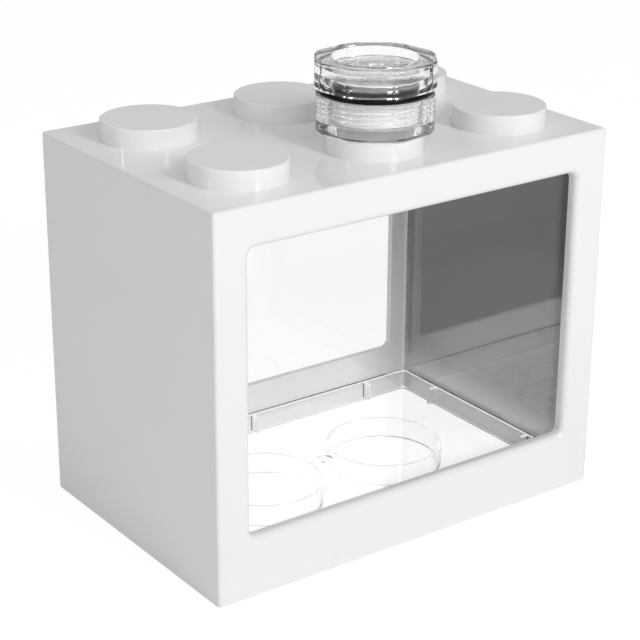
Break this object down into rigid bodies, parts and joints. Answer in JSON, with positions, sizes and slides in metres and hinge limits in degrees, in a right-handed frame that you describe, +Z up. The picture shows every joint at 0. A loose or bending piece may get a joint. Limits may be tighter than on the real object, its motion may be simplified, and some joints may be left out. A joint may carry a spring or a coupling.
{
  "type": "mini aquarium",
  "caption": "Small desk fish tank shaped like a toy building block: a white windowed shell with studs over a clear tank, with a round screw-top battery lamp standing on a stud.",
  "frame": {"origin": "middle of the block's footprint, on the surface it stands on", "axes": "+X along the block's longer side, -Y to the front window under the lamp, +Z up"},
  "size_m": [0.12, 0.0798, 0.1231],
  "materials": {
    "white_shell": "glossy white moulded plastic",
    "clear_tank": "clear moulded plastic",
    "clear_lamp_case": "clear moulded plastic",
    "black_seal": "black rubber",
    "white_holder": "white moulded plastic",
    "cell_steel": "stamped steel with a turned grain",
    "white_board": "white lacquered board",
    "led_lens": "milky lens",
    "sprung_contact": "nickel-plated spring strip"
  },
  "bodies": {
    "tank": {"tank": "clear_tank"},
    "shell": {"shell": "white_shell"},
    "lamp": {"lamp_body": "clear_lamp_case", "cell_holder": "white_holder", "lower_cell": "cell_steel", "upper_cell": "cell_steel", "light_board": "white_board", "leds": "led_lens", "negative_contact": "sprung_contact", "positive_contact": "sprung_contact"},
    "seal": {"lamp_seal": "black_seal"},
    "cap": {"lamp_cap": "clear_lamp_case"}
  },
  "joints": [
    {"name": "shell_lift", "type": "slide", "parent": "tank", "child": "shell", "axis": [0, 0, 1], "range_m": [0, 0.1]},
    {"name": "lamp_lift", "type": "slide", "parent": "shell", "child": "lamp", "axis": [0, 0, 1], "range_m": [0, 0.03]},
    {"name": "cap_rise", "type": "slide", "parent": "lamp", "child": "seal", "axis": [0, 0, 1], "range_m": [0, 0.0049]},
    {"name": "cap_turn", "type": "hinge", "parent": "seal", "child": "cap", "pos_m": [0, -0.0201, 0.116], "axis": [0, 0, 1], "range_deg": [0, 1440]}
  ],
  "couplings": [
    {"joint": "cap_rise", "follows": "cap_turn", "m_per_rad": 0.00019099}
  ]
}
